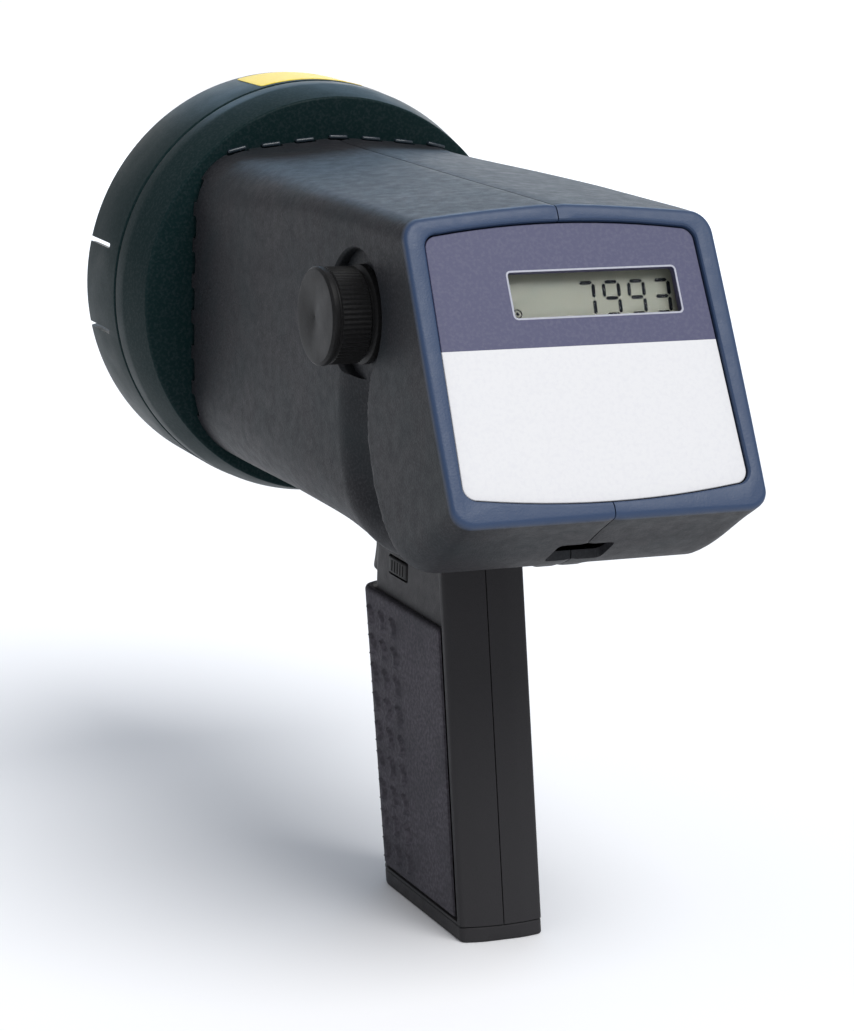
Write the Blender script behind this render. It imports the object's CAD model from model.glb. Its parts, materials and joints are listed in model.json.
"""Looks of a handheld digital strobe (timing light), built around its CAD frame.

Shapes are drawn in millimetres in the head frame: X points to the speed knob, Y to the user
and Z up. Its origin is on the lamp axis, straight above a point 1 mm behind the middle of the
foot. world() turns such points into metres in the row frame.
"""
import json
import math

import bmesh
import bpy
import numpy as np
from mathutils import Matrix, Vector

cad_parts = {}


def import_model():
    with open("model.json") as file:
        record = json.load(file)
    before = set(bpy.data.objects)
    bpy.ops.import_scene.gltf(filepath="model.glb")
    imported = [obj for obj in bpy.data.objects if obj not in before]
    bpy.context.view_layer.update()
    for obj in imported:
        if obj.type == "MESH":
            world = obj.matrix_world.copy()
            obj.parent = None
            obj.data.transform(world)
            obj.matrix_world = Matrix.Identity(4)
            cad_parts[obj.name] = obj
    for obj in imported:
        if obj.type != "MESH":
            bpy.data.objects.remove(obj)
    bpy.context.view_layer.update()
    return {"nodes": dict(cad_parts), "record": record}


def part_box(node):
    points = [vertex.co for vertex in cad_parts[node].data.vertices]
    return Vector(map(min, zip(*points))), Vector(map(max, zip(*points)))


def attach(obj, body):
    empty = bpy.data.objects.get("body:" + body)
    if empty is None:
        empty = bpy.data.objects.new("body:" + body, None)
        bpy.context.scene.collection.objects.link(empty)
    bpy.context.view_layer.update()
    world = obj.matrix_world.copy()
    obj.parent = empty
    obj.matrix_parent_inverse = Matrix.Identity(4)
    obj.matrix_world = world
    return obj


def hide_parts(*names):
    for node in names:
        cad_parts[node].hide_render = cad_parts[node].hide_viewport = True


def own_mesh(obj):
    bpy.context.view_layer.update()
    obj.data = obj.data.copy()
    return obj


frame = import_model()

MM = 0.001
AXIS_Z = (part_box("reflector_bezel")[0][2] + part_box("reflector_bezel")[1][2]) / 2
HOUSING = "housing"


def span(node, axis):
    """Lowest and highest coordinate of a CAD node along an axis (0 to 2), in the head frame."""
    low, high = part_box(node)
    lift = AXIS_Z if axis == 2 else 0.0
    return (low[axis] - lift) / MM, (high[axis] - lift) / MM


def middle(node, axis):
    return sum(span(node, axis)) / 2


def world(points):
    """Points of the head frame, in metres in the row frame."""
    return np.asarray(points, float) * MM + np.array([0.0, 0.0, AXIS_Z])


# ------------------------------------------------------------------ driving dimensions
SEAM = 0.15  # each half shell stops this far from the middle plane
CHAMFER = 0.3  # small chamfer along the parting line
WALL = 2.5
GAP = 0.3

FOOT = span("foot_plate", 2)[0]
FOOT_TOP = span("foot_plate", 2)[1]
HEAD_FRONT = span("left_shell", 1)[0]

# sections of the head: y, half width, top, bottom, upper and lower corner radius
HEAD_STATIONS = [
    (HEAD_FRONT, 44.6, 46.9, -48.8, 16.8, 24.0),
    (-94.0, 44.5, 46.4, -48.8, 16.6, 24.0),
    (-34.0, 44.4, 46.3, -46.8, 9.2, 20.5),
    (-4.0, 44.3, 46.3, -46.5, 6.5, 19.0),
    (18.0, 44.2, 46.4, -47.0, 6.2, 16.5),
    (34.0, 44.2, 46.4, -47.9, 5.7, 13.0),
    (50.0, 44.2, 46.3, -47.0, 5.5, 10.0),
    (80.0, 44.0, 46.2, -30.4, 4.5, 6.0),
    (96.0, 43.9, 46.2, -20.0, 4.5, 5.0),
]
TOP_CROWN = 2.6
SIDE_BULGE = 0.35
REAR_NARROWING = 0.022  # share of the width lost at the upper back corners
RIM_ROUNDING = 1.7  # the shell's edge round the display

# display plane: leans back by LEAN
DISPLAY_Y = 65.7
DISPLAY_Z = 9.75
LEAN = math.radians(29)
PANEL = dict(top_half=37.9, bottom_half=39.6, top=35.0, bottom=-34.6, bow=2.4, r=3.6)
PANEL_FACE = -1.2
PANEL_SEAT = -4.3
SPLIT = 4.2  # the printed film is slate above this line and off-white below it
WINDOW = dict(u=6.9, v=18.3, width=47.2, height=12.2)

KNOB_Y = middle("encoder_shaft", 1)
KNOB_Z = middle("encoder_shaft", 2)
KNOB_BASE, KNOB_FACE = span("control_knob", 0)
POCKET_R = 17.0
POCKET_FLOOR = 41.0
POCKET_MOUTH = [(0.0, 43.0), (0.25, 43.5), (1.3, 44.6), (1.3, 70.0)]  # (flare, x) towards the open
SHAFT_HOLE_R = 4.9
LOCK_WINDOW = (6.9, 2.9)  # half width and half height of the lock button's recess
MOUTH_HALF = 7.1  # half width of the trigger's mouth
JACK_NOTCH = dict(half=8.0, front=-4.5, rear=5.5, ceiling=-36.2, bore=4.3)

# the steep back edge of the scoop that runs down from the knob pocket, as (y, z)
SCOOP_EDGE = [(31.5, 9), (31, 3), (29.3, -6), (30, -15), (34.5, -26), (41, -34.5), (50, -41.5), (62, -48)]
SCOOP_DEPTH = 4.4  # below the knob pocket
SCOOP_END_DEPTH = 6.8  # near the belly
SCOOP_WALL = 2.2  # width of the steep back edge
SCOOP_FLAT = 3.0  # width of the deepest strip
SCOOP_REACH = 17.0  # how far ahead of that strip it runs out

HANDLE = dict(half=12.2, core=9.7, depth=30.5, shift=-1.0, flare=0.025, rake=0.2272, r=8.6,
              core_r=6.1, rear_r=2.0, bow=1.5)
PAD_TOP = span("left_grip_pad", 2)[1]
PAD_BOTTOM = span("left_grip_pad", 2)[0]
PAD_THICK = 2.5
NECK_FRONT = -46.3
NECK_TOP = -42.0
TAPER = (8.0, 5.4)  # where the strip behind the pads starts to widen and is full, from the back

CASE_SCREWS = [(middle(f"case_screw_{i}", 1), middle(f"case_screw_{i}", 2)) for i in range(1, 7)]
BELL_SCREWS = [(middle(f"bell_screw_{i}", 0), middle(f"bell_screw_{i}", 2)) for i in range(1, 5)]
FOOT_SCREWS = [(middle(f"foot_screw_{i}", 0), middle(f"foot_screw_{i}", 1)) for i in range(1, 3)]
SCREW_HEAD_R = 2.7
SCREW_HEAD_HEIGHT = 2.2
SCREW_SHANK_R = 1.3
PIVOT_R = 1.7  # holes for the trigger's pin
PIVOT = middle("trigger_pin", 1), middle("trigger_pin", 2)


# ------------------------------------------------------------------ mesh helpers
def linked(name, data):
    """New object in the scene."""
    obj = bpy.data.objects.new(name, data)
    bpy.context.scene.collection.objects.link(obj)
    return obj


def new_object(name, points, faces):
    """Object with a clean closed mesh, from points in the head frame."""
    mesh = bpy.data.meshes.new(name)
    mesh.from_pydata(world(points).tolist(), [], faces)
    work = bmesh.new()
    work.from_mesh(mesh)
    bmesh.ops.remove_doubles(work, verts=work.verts, dist=1e-6)
    bmesh.ops.recalc_face_normals(work, faces=work.faces)
    work.to_mesh(mesh)
    work.free()
    return linked(name, mesh)


def skin(name, rings, caps=True, loop=False):
    """Closed object over a stack of rings with the same number of points."""
    rings = np.asarray(rings, float)
    count, columns = rings.shape[:2]
    grid = np.arange(count * columns).reshape(count, columns)
    beside = np.roll(grid, -1, axis=1)
    low, high = (grid, np.roll(grid, -1, axis=0)) if loop else (grid[:-1], grid[1:])
    low_beside, high_beside = (
        (beside, np.roll(beside, -1, axis=0)) if loop else (beside[:-1], beside[1:])
    )
    faces = np.stack([low, low_beside, high_beside, high], -1).reshape(-1, 4).tolist()
    if caps and not loop:
        faces += [grid[0, ::-1].tolist(), grid[-1].tolist()]
    return new_object(name, rings.reshape(-1, 3), faces)


def rectangle(u0, v0, u1, v1):
    """Corners of a rectangle, anticlockwise from its low corner."""
    return [(u0, v0), (u1, v0), (u1, v1), (u0, v1)]


def rounded(corners, radius, steps=5):
    """Closed outline with rounded corners; radius is one number, or one for each corner."""
    corners = [np.array(corner, float) for corner in corners]
    radii = np.broadcast_to(np.asarray(radius, float), len(corners))
    outline = []
    for i, here in enumerate(corners):
        if radii[i] <= 0:
            outline.append(here)
            continue
        before, after = corners[i - 1] - here, corners[(i + 1) % len(corners)] - here
        lengths = np.linalg.norm(before), np.linalg.norm(after)
        before, after = before / lengths[0], after / lengths[1]
        half_angle = math.acos(np.clip(before @ after, -1, 1)) / 2
        reach = min(radii[i] / math.tan(half_angle), 0.49 * lengths[0], 0.49 * lengths[1])
        for t in np.linspace(0, 1, steps + 1):
            start, end = here + before * reach, here + after * reach
            weight = math.sin(half_angle)  # a rational curve of this weight is a true arc
            a, b, c = (1 - t) ** 2, 2 * t * (1 - t) * weight, t ** 2
            outline.append((a * start + b * here + c * end) / (a + b + c))
    return np.array(outline)


def turned(name, outline, axis="y", centre=(0.0, 0.0), sides=96, radius_at=None):
    """Body of revolution about an axis, from a closed outline of (radius, position)."""
    outline = np.asarray(outline, float)
    rings = []
    for angle in np.linspace(0, 2 * math.pi, sides, endpoint=False):
        radius = outline[:, 0] if radius_at is None else radius_at(outline, angle)
        u, v = radius * math.cos(angle), radius * math.sin(angle)
        along = outline[:, 1]
        columns = {
            "x": (along, centre[0] + u, centre[1] + v),
            "y": (centre[0] + u, along, centre[1] + v),
            "z": (centre[0] + u, centre[1] + v, along),
        }[axis]
        rings.append(np.stack(columns, -1))
    return skin(name, rings, loop=True)


def rod(radius, start, end, axis, centre, sides=32):
    """Plain cylinder, used for cutting and joining."""
    outline = [(0, start), (radius, start), (radius, end), (0, end)]
    return turned("rod", outline, axis, centre, sides)


def block(low, high):
    ring = rectangle(*low[:2], *high[:2])
    return skin("block", [[(x, y, z) for x, y in ring] for z in (low[2], high[2])])


def settle(obj):
    """Applies an object's modifiers to its mesh."""
    bpy.context.view_layer.update()
    evaluated = obj.evaluated_get(bpy.context.evaluated_depsgraph_get())
    mesh = bpy.data.meshes.new_from_object(evaluated)
    obj.modifiers.clear()
    obj.data = mesh
    return obj


def carve(obj, operation, *tools):
    """Joins ("UNION"), cuts ("DIFFERENCE") or clips ("INTERSECT") an object with others."""
    for tool in tools:
        step = obj.modifiers.new("carve", "BOOLEAN")
        step.operation = operation
        step.solver = "MANIFOLD"
        step.object = tool
    settle(obj)
    for tool in tools:
        bpy.data.objects.remove(tool, do_unlink=True)
    return obj


def bevel(obj, width, segments=2, angle=35):
    """Rounds the sharp edges of a simple solid."""
    step = obj.modifiers.new("bevel", "BEVEL")
    step.width = width * MM
    step.segments = segments
    step.limit_method = "ANGLE"
    step.angle_limit = math.radians(angle)
    step.use_clamp_overlap = True
    return settle(obj)


def smooth(obj, angle=32):
    mesh = obj.data
    mesh.shade_smooth()
    mesh.set_sharp_from_angle(angle=math.radians(angle))
    return obj


def piece(obj, name, body, slot, look, *nodes, angle=32):
    """Finishes a visible piece: name, shading, material, body, slot and what it stands for."""
    obj.name = obj.data.name = name
    smooth(obj, angle)
    looks = look if isinstance(look, (list, tuple)) else [look]
    while len(obj.data.materials) < len(looks):
        obj.data.materials.append(None)
    for i, one in enumerate(looks):
        obj.data.materials[i] = one
    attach(obj, body)
    if nodes:
        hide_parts(*nodes)
    return obj


def joined(name, objects):
    """One object made of several that don't touch."""
    work = bmesh.new()
    for obj in objects:
        work.from_mesh(obj.data)
    mesh = bpy.data.meshes.new(name)
    work.to_mesh(mesh)
    work.free()
    for obj in objects:
        bpy.data.objects.remove(obj, do_unlink=True)
    return linked(name, mesh)


# ------------------------------------------------------------------ display frame
def on_display(points):
    """Points (u, v, height above the display plane) in the head frame. u points to -X."""
    u, v, height = np.moveaxis(np.asarray(points, float), -1, 0)
    return np.stack([
        -u,
        DISPLAY_Y - v * math.sin(LEAN) + height * math.cos(LEAN),
        DISPLAY_Z + v * math.cos(LEAN) + height * math.sin(LEAN),
    ], -1)


def panel_outline(margin, steps=7, edge_steps=12):
    """Outline of the recessed panel, grown by a margin, as (u, v)."""
    r = PANEL["r"] + margin
    outline = []

    def arc(u, v, start):
        for angle in np.radians(np.linspace(start, start + 90, steps + 1)):
            outline.append((u + r * math.cos(angle), v + r * math.sin(angle)))

    def bow(half, level, sign, direction):
        for t in np.linspace(-1, 1, edge_steps + 1)[1:-1]:
            outline.append((direction * t * (half - r), level + sign * PANEL["bow"] * (1 - t * t)))

    top_half, bottom_half = PANEL["top_half"] + margin, PANEL["bottom_half"] + margin
    top, bottom = PANEL["top"] + margin, PANEL["bottom"] - margin
    arc(top_half - r, top - r, 0)
    bow(top_half, top, 1, -1)
    arc(-top_half + r, top - r, 90)
    arc(-bottom_half + r, bottom + r, 180)
    bow(bottom_half, bottom, -1, 1)
    arc(bottom_half - r, bottom + r, 270)
    return np.array(outline)


def display_stack(name, levels):
    """Solid on the display plane from (outline, height) pairs."""
    rings = [np.column_stack([outline, np.full(len(outline), h)]) for outline, h in levels]
    return skin(name, [on_display(ring) for ring in rings])


def window_outline(grow, radius=0.9):
    u, v = WINDOW["u"], WINDOW["v"]
    w, h = WINDOW["width"] / 2 + grow, WINDOW["height"] / 2 + grow
    return rounded(rectangle(u - w, v - h, u + w, v + h), radius, 4)


# ------------------------------------------------------------------ head shell
def cubic_table(stations):
    """Smooth monotone interpolation through the stations, as a function of y."""
    table = np.array(stations, float)
    y, values = table[:, 0], table[:, 1:]
    step = np.diff(y)[:, None]
    secant = np.diff(values, axis=0) / step
    slope = np.zeros_like(values)
    slope[0], slope[-1] = secant[0], secant[-1]
    before, after = secant[:-1], secant[1:]
    w1, w2 = 2 * step[1:] + step[:-1], step[1:] + 2 * step[:-1]
    same = before * after > 0
    safe_before = np.where(same, before, 1.0)
    safe_after = np.where(same, after, 1.0)
    slope[1:-1] = np.where(same, (w1 + w2) / (w1 / safe_before + w2 / safe_after), 0.0)

    def at(where):
        i = np.clip(np.searchsorted(y, where, side="right") - 1, 0, len(y) - 2)
        h = (y[i + 1] - y[i])[:, None]
        t = np.clip((where - y[i])[:, None] / h, 0, 1)
        return (
            (2 * t ** 3 - 3 * t ** 2 + 1) * values[i] + (t ** 3 - 2 * t ** 2 + t) * h * slope[i]
            + (3 * t ** 2 - 2 * t ** 3) * values[i + 1] + (t ** 3 - t ** 2) * h * slope[i + 1]
        )
    return at


head_table = cubic_table(HEAD_STATIONS)

# columns of a half section: which stretch each belongs to, and how far along it
SEGMENTS = [("top", 18), ("shoulder", 10), ("side", 74), ("chine", 14), ("belly", 20)]
COLUMN_KIND = np.concatenate([np.full(n, k) for k, (_, n) in enumerate(SEGMENTS)])
COLUMN_T = np.concatenate([np.arange(n) / n for _, n in SEGMENTS])
COLUMN_KIND = np.append(COLUMN_KIND, len(SEGMENTS) - 1)
COLUMN_T = np.append(COLUMN_T, 1.0)


def half_section(y, inset, seam):
    """(x, z) of each column of a half section, each at its own y."""
    w, top, bottom, r_top, r_bottom = head_table(y).T
    w, top, bottom = w - inset, top - inset, bottom + inset
    r_top, r_bottom = np.maximum(r_top - inset, 1.5), np.maximum(r_bottom - inset, 1.5)
    shoulder = top - TOP_CROWN
    t = COLUMN_T
    x_top = seam + t * (w - r_top - seam)
    crown = TOP_CROWN * np.abs(x_top / (w - r_top)) ** 1.35
    up = np.radians(90 * (1 - t))
    down = np.radians(-90 * t)
    side_top, side_bottom = shoulder - r_top, bottom + r_bottom
    choices_x = [
        x_top, w - r_top + r_top * np.cos(up), w + SIDE_BULGE * np.sin(math.pi * t),
        w - r_bottom + r_bottom * np.cos(down), seam + (1 - t) * (w - r_bottom - seam),
    ]
    choices_z = [
        top - crown, side_top + r_top * np.sin(up), side_top + t * (side_bottom - side_top),
        side_bottom + r_bottom * np.sin(down), bottom,
    ]
    x, z = np.choose(COLUMN_KIND, choices_x), np.choose(COLUMN_KIND, choices_z)
    rear = np.clip((y + 34) / 100, 0, 1)
    height = np.clip((z - bottom) / (top - bottom), 0, 1)
    x = np.where(COLUMN_KIND == 0, x, x * (1 - REAR_NARROWING * rear * height))
    return x, z


def ease(value):
    """Smooth step from 0 to 1."""
    value = np.clip(value, 0, 1)
    return value * value * (3 - 2 * value)


def scoop_depth(y, z):
    """How deep the scoop below the knob pocket is at a place on the side."""
    edge = np.array(SCOOP_EDGE, float)
    best = np.full(y.shape, 1e9)
    signed = np.zeros(y.shape)
    for start, end in zip(edge[:-1], edge[1:]):
        line = end - start
        t = np.clip(((y - start[0]) * line[0] + (z - start[1]) * line[1]) / (line @ line), 0, 1)
        dy, dz = y - start[0] - t * line[0], z - start[1] - t * line[1]
        distance = np.hypot(dy, dz)
        ahead = np.sign(line[0] * dz - line[1] * dy)
        closer = distance < best
        best = np.where(closer, distance, best)
        signed = np.where(closer, -ahead * distance, signed)
    wall = ease(signed / SCOOP_WALL + 0.1)
    fade = 1 - ease((signed - SCOOP_FLAT) / SCOOP_REACH)
    top_fade = 1 - ease(z / 10)
    depth = SCOOP_DEPTH + (SCOOP_END_DEPTH - SCOOP_DEPTH) * ease((-12 - z) / 26)
    return depth * wall * fade * top_fade


def plane_y(z, depth):
    """y of the plane that lies `depth` behind the display plane, at a height."""
    return DISPLAY_Y - depth / math.cos(LEAN) - (z - DISPLAY_Z) * math.tan(LEAN)


def head_rings(steps, inset, seam, start, depth):
    """Rings of a half head from `start` to a plane behind the display."""
    end = np.full(len(COLUMN_T), DISPLAY_Y)
    for _ in range(30):  # each column's height changes a little with its own end, so this settles
        end = plane_y(half_section(end, inset, seam)[1], depth)
    rings = []
    for s in steps:
        y = start + s * (end - start)
        x, z = half_section(y, inset, seam)
        normal = np.stack([-np.gradient(z), np.gradient(x)], -1)
        normal /= np.maximum(np.linalg.norm(normal, axis=1, keepdims=True), 1e-9)
        push = scoop_depth(y, z) * np.isin(COLUMN_KIND, (2, 3, 4)) * np.clip((x - 6) / 12, 0, 1)
        x, z = x - normal[:, 0] * push, z - normal[:, 1] * push
        rings.append(np.stack([x, y, z], -1))
    return rings


def head_half():
    """Outer volume of a half head on the +X side, with a rounded rim round the display."""
    front = np.linspace(0, 0.075, 14)  # closer rings where the vents are
    body = np.linspace(0.075, 0.62, 26)[1:]
    rear = np.linspace(0.62, 0.992, 86)[1:]  # and round the scoop
    rings = head_rings(np.concatenate([front, body, rear]), 0.0, SEAM, HEAD_FRONT, 0.0)
    edge = head_rings([1.0], 0.0, SEAM, HEAD_FRONT, 0.0)[0]
    centre = on_display([[0.0, 0.0, 0.0]])[0]
    inward = centre - edge
    inward[:, 0] = np.sign(inward[:, 0]) * np.minimum(np.abs(inward[:, 0]), np.abs(edge[:, 0]) - SEAM)
    inward /= np.linalg.norm(inward, axis=1, keepdims=True)
    target = edge + inward * RIM_ROUNDING
    target[:, 0] = np.maximum(target[:, 0], SEAM)
    start = rings[-1]
    for t in (0.2, 0.4, 0.6, 0.8, 1.0):
        rings.append((1 - t) ** 2 * start + 2 * t * (1 - t) * edge + t ** 2 * target)
    rings = np.array(rings)
    rings[:, 0, 0] = rings[:, -1, 0] = SEAM
    rings[:, 0, 2] -= CHAMFER
    rings[:, -1, 2] += CHAMFER
    return skin("head", rings)


def handle_centre(z):
    """y of the handle's middle at a height; the handle leans back."""
    return HANDLE["shift"] - HANDLE["rake"] * (z - FOOT)


def handle_depth(z):
    """Half of the handle's length along Y at a height."""
    return HANDLE["depth"] + HANDLE["flare"] * (z - FOOT)


def handle_ring(z, front=None, inset=0.0, seam=SEAM):
    """Half section of the handle core at a height: narrow in front, full width at the back."""
    centre, depth = handle_centre(z), handle_depth(z)
    front = centre - depth + PAD_THICK if front is None else front
    rear = centre + depth
    core, half = HANDLE["core"] - inset, HANDLE["half"] - inset
    back, bow = rear - inset, HANDLE["bow"]
    corners = [
        (seam, front + inset), (core, front + inset), (core + 0.5, rear - TAPER[0]),
        (half, rear - TAPER[1] + 1.5), (half, back - bow), (half / 2, back - bow / 6), (seam, back),
    ]
    radii = (0, HANDLE["core_r"], 0.6, 1.5, HANDLE["rear_r"], 20, 0)
    outline = rounded(corners, radii, 7)
    return np.column_stack([outline, np.full(len(outline), z)])


def full_ring(z, inset=0.0):
    """Whole section of the handle at a height."""
    centre, depth = handle_centre(z), handle_depth(z) - inset
    half = HANDLE["half"] - inset
    front, back, bow = centre - depth, centre + depth, HANDLE["bow"]
    corners = [
        (half, back - bow), (half / 2, back - bow / 6), (-half / 2, back - bow / 6),
        (-half, back - bow), (-half, front), (half, front),
    ]
    r, rear_r = HANDLE["r"] - inset, HANDLE["rear_r"]
    outline = rounded(corners, (rear_r, 20, 20, rear_r, r, r), 8)
    return np.column_stack([outline, np.full(len(outline), z)])


def handle_half():
    """Core of the handle and the neck above it, with a small flange at the foot."""
    low = FOOT_TOP + GAP
    grip = skin("grip", [handle_ring(low), handle_ring(PAD_TOP)])
    neck_rings = [handle_ring(z, NECK_FRONT) for z in (PAD_TOP - 0.01, -62, -52, NECK_TOP)]
    neck = skin("neck", neck_rings)
    flange = skin("flange", [full_ring(low), full_ring(PAD_BOTTOM - GAP)])
    carve(flange, "INTERSECT", block((SEAM, -80, -200), (60, 80, 0)))
    return carve(grip, "UNION", neck, flange)


def mirrored(obj):
    """Mirrors an object to the -X side."""
    obj.data.transform(Matrix.Scale(-1, 4, (1, 0, 0)))
    obj.data.flip_normals()
    return obj


VENT_PITCH = 10.5
VENT_HALF = 3.3
VENT_REAR = -100.3
VENT_RISE = 1.0


def notch(axis, centre, start, end):
    """Notch in the head's front edge with round inner corners, to cut along an axis."""
    low, high = centre - VENT_HALF, centre + VENT_HALF
    front = HEAD_FRONT - 1
    outline = rounded(rectangle(low, front, high, VENT_REAR), (0, 0, 1.1, 1.1), 4)
    if axis == "z":
        return skin("notch", [[(a, b, z) for a, b in outline] for z in (start, end)])
    return skin("notch", [[(x, b, a) for a, b in outline] for x in (start, end)])


def vents():
    """Vent notches across the top and down both sides, against the bell's back disc."""
    tools = []
    for i in range(-3, 4):
        tools.append(notch("z", i * VENT_PITCH, 41, 60))
        for start, end in ((-60, -41.4), (41.4, 60)):
            tools.append(notch("x", i * VENT_PITCH + VENT_RISE, start, end))
    return joined("vents", tools)


def duplicate(obj):
    copy = obj.copy()
    copy.data = obj.data.copy()
    bpy.context.scene.collection.objects.link(copy)
    return copy


def posts(outer, side):
    """Screw posts inside one half, trimmed to the outer surface."""
    start, end = sorted((side * SEAM, side * 60))
    rods = [rod(4.2, start, end, "x", place, 24) for place in CASE_SCREWS]
    rods += [rod(4.4, HEAD_FRONT, -92, "y", place, 24) for place in BELL_SCREWS
             if place[0] * side > 0]
    return carve(joined("posts", rods), "INTERSECT", duplicate(outer))


def hollow(side):
    """Room inside one half of the case, as two tools."""
    steps = np.concatenate([np.linspace(0, 0.6, 18), np.linspace(0.6, 1, 40)[1:]])
    rings = np.array(head_rings(steps, WALL, -1.0, HEAD_FRONT - 5, -PANEL_SEAT + WALL))
    head = skin("head_room", rings)
    inset = 2.2
    low = FOOT - 5
    grip = skin("grip_room", [
        handle_ring(low, inset=inset, seam=-1.0),
        handle_ring(PAD_TOP - 4, inset=inset, seam=-1.0),
        handle_ring(-40, NECK_FRONT, inset=inset, seam=-1.0),
    ])
    if side < 0:
        mirrored(head)
        mirrored(grip)
    return head, grip


def knob_openings():
    """Knob pocket, shaft hole and the lock button's recess, all on the knob side."""
    pocket = [(0, POCKET_FLOOR), (POCKET_R, POCKET_FLOOR)]
    pocket += [(POCKET_R + flare, x) for flare, x in POCKET_MOUTH]
    pocket.append((0, POCKET_MOUTH[-1][1]))
    y, z = middle("lock_button", 1), middle("lock_button", 2)
    w, h = LOCK_WINDOW
    return [
        turned("pocket", pocket, "x", (KNOB_Y, KNOB_Z), 96),
        rod(SHAFT_HOLE_R, 30, 45, "x", (KNOB_Y, KNOB_Z), 40),
        bevel(block((3, y - w, z - h), (20, y + w, z + h)), 0.8, 3),
    ]


def screw_holes(side):
    """Holes for the screws that hold the halves and the bell."""
    hole_r = SCREW_SHANK_R + GAP
    holes = []
    for place in CASE_SCREWS:
        if side < 0:
            holes.append(rod(SCREW_HEAD_R + 0.6, -70, -7, "x", place, 40))
        holes.append(rod(hole_r, -10, 8, "x", place, 24))
    bell_holes = [rod(hole_r, -110, -93, "y", place, 24) for place in BELL_SCREWS]
    return holes + [joined("bell_holes", bell_holes)]


def trigger_and_jack_openings():
    jack_y, half = middle("sync_jack", 1), JACK_NOTCH["half"]
    front, rear = jack_y + JACK_NOTCH["front"], jack_y + JACK_NOTCH["rear"]
    return [
        block((-MOUTH_HALF, -64, span("trigger", 2)[0] - 1), (MOUTH_HALF, -34.3, PIVOT[1] + 4.6)),
        rod(PIVOT_R, -9.2, 9.2, "x", PIVOT, 24),
        bevel(block((-half, front, -60), (half, rear, JACK_NOTCH["ceiling"])), 1.6, 3),
        rod(JACK_NOTCH["bore"], -60, -25, "z", (0, jack_y), 40),
    ]


def half_shell(side):
    """One moulded half of the case; side is +1 for the knob side."""
    outer = carve(head_half(), "UNION", handle_half())
    if side < 0:
        mirrored(outer)
    ribs = [posts(outer, side)]
    if side > 0:
        backing = rod(POCKET_R + 2.2, POCKET_FLOOR - 2.4, 50, "x", (KNOB_Y, KNOB_Z), 64)
        ribs.append(carve(backing, "INTERSECT", duplicate(outer)))
    shell = carve(outer, "DIFFERENCE", *hollow(side))
    carve(shell, "UNION", *ribs)

    levels = [(0.3, PANEL_SEAT), (0.3, -0.9), (0.42, -0.45), (0.75, -0.12), (1.25, 0.02), (3.0, 4.0)]
    seat = display_stack("seat", [(panel_outline(margin), level) for margin, level in levels])
    mouth = display_stack("mouth", [(panel_outline(-2.6), -20), (panel_outline(-2.6), -4)])
    carve(shell, "DIFFERENCE", seat, mouth, vents())
    holes = knob_openings() if side > 0 else []
    for hole in holes + screw_holes(side) + trigger_and_jack_openings():
        carve(shell, "DIFFERENCE", hole)
    return shell


# ------------------------------------------------------------------ lamp head
HOOD_FRONT, HOOD_REAR = span("reflector_bezel", 1)
HOOD_R = span("reflector_bezel", 2)[1]
BELL_BACK = span("reflector_bell", 1)[1]
SPIGOT_FRONT = span("reflector_bell", 1)[0]
LENS_FRONT, LENS_BACK = span("front_lens", 1)
HOOD_WALL = 2.2
SLOT_ANGLE = 12
BELL_MOUTH_R = 42.5
BELL_DISC = 2.5
FOCAL = 24.9
REFLECTOR_WALL = 1.4
LAMP_HOLE_R = 12.0


def hood():
    """Snap-on hood: thin wall ahead of the lens, lens stop, and a skirt over the bell."""
    inner = HOOD_R - HOOD_WALL
    stop = LENS_FRONT - 1.4
    outline = rounded([
        (inner, HOOD_FRONT), (HOOD_R, HOOD_FRONT), (HOOD_R, HOOD_REAR), (60.3, HOOD_REAR),
        (60.3, stop), (56.5, stop), (56.5, stop - 2), (inner, stop - 2),
    ], (0.7, 0.9, 1.1, 0.2, 0.1, 0.3, 0.4, 0.5), 4)
    ring = turned("hood", outline, "y", sides=192)
    cuts = []
    for side in (0, 180):
        for sign in (-1, 1):
            turn = Matrix.Rotation(math.radians(side + sign * SLOT_ANGLE), 4, "Y")
            cuts.append(placed(side_prism("slot", hood_slot_outline(), 50, 70), turn, (0, 0, 0)))
    return carve(ring, "DIFFERENCE", *cuts)


def hood_slot_outline():
    """Open-ended slot in the hood's wall, as (y, z), round at its closed end."""
    front, rear, half = HOOD_FRONT - 1, LENS_FRONT - 3.6, 0.75
    return rounded(rectangle(front, -half, rear, half), (0, 0.7, 0.7, 0), 4)


def tab(x):
    """Small lip on the bell's back disc that bridges one of the top vents."""
    section = np.array(half_section(np.full(len(COLUMN_T), HEAD_FRONT), 0.0, SEAM)).T
    upper = section[COLUMN_KIND < 2]
    level = np.interp(abs(x), upper[:, 0], upper[:, 1])
    slope = np.interp(abs(x) + 1, upper[:, 0], upper[:, 1]) - level
    lip = bevel(block((-2.9, BELL_BACK - 0.5, -0.3), (2.9, BELL_BACK + 1.2, 0.9)), 0.5, 4)
    turn = Matrix.Rotation(math.atan(-slope) * (1 if x > 0 else -1), 4, "Y")
    return placed(lip, turn, (x, 0, level))


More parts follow.
